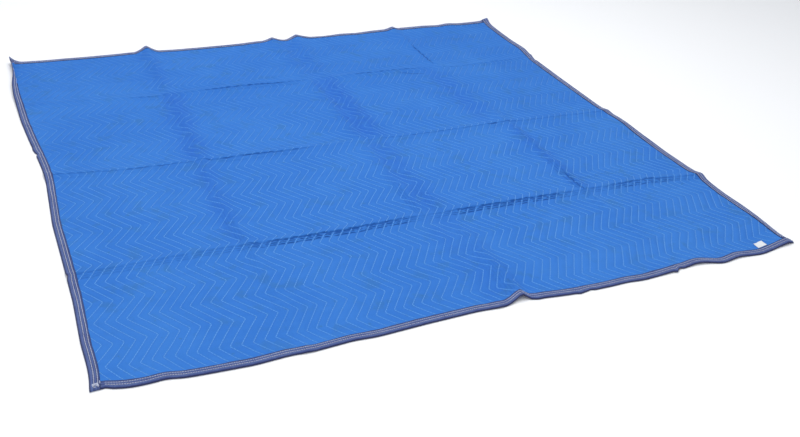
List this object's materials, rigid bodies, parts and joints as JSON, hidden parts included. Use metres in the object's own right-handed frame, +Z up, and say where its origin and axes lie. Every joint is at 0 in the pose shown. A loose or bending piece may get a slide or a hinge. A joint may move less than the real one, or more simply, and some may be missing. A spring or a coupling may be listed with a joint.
{
  "type": "quilted moving blanket",
  "caption": "Zigzag-quilted moving blanket laid out flat with its fold creases, its edges bound all round in folded woven tape, with a small bare label.",
  "frame": {"origin": "middle of the footprint, on the surface it lies on", "axes": "+X along the long front edge from left to right, +Y from the front edge to the back edge, +Z up"},
  "size_m": [2.065, 1.864, 0.032],
  "materials": {
    "quilted_cloth": "matt woven cloth, quilted in pale zigzag rows",
    "binding_tape": "matt woven tape",
    "label_cloth": "smooth woven label, bare"
  },
  "bodies": {
    "root": {"quilted_panel": "quilted_cloth", "binding_left": "binding_tape", "binding_back": "binding_tape", "binding_right": "binding_tape", "binding_front": "binding_tape", "label": "label_cloth"}
  },
  "joints": []
}
